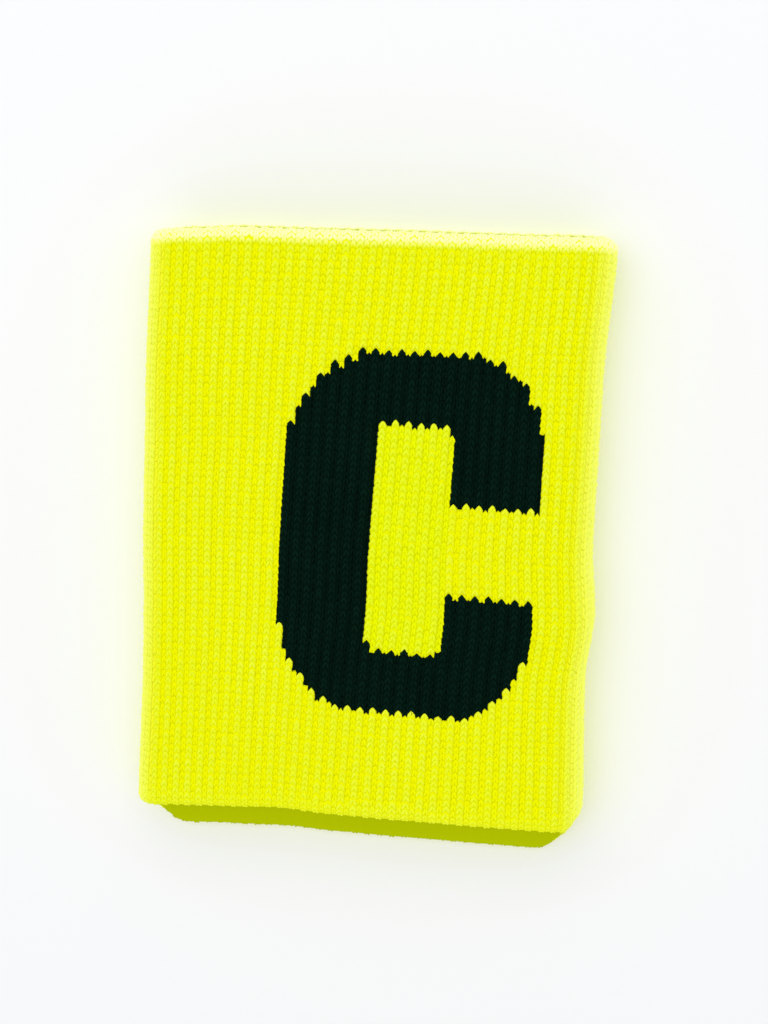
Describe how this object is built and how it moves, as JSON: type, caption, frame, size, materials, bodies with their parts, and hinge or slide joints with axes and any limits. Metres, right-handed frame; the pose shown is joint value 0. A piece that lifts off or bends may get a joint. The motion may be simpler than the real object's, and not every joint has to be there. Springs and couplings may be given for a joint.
{
  "type": "knitted captain armband",
  "caption": "Ribbed knit tube, doubled and pressed flat, open at both hems, with a black block letter C knitted into its front.",
  "frame": {"origin": "under the middle of the flattened band, on the surface that its back lies on", "axes": "+X from the left fold to the right fold as the letter is read, +Y up the letter towards the top hem, +Z out of the front wall"},
  "size_m": [0.0864, 0.1172, 0.0142],
  "materials": {
    "yellow_yarn": "matt fluorescent yellow rib knit",
    "black_yarn": "matt black rib knit"
  },
  "bodies": {
    "root": {"knitted_band": "yellow_yarn", "letter_c": "black_yarn"}
  },
  "joints": []
}
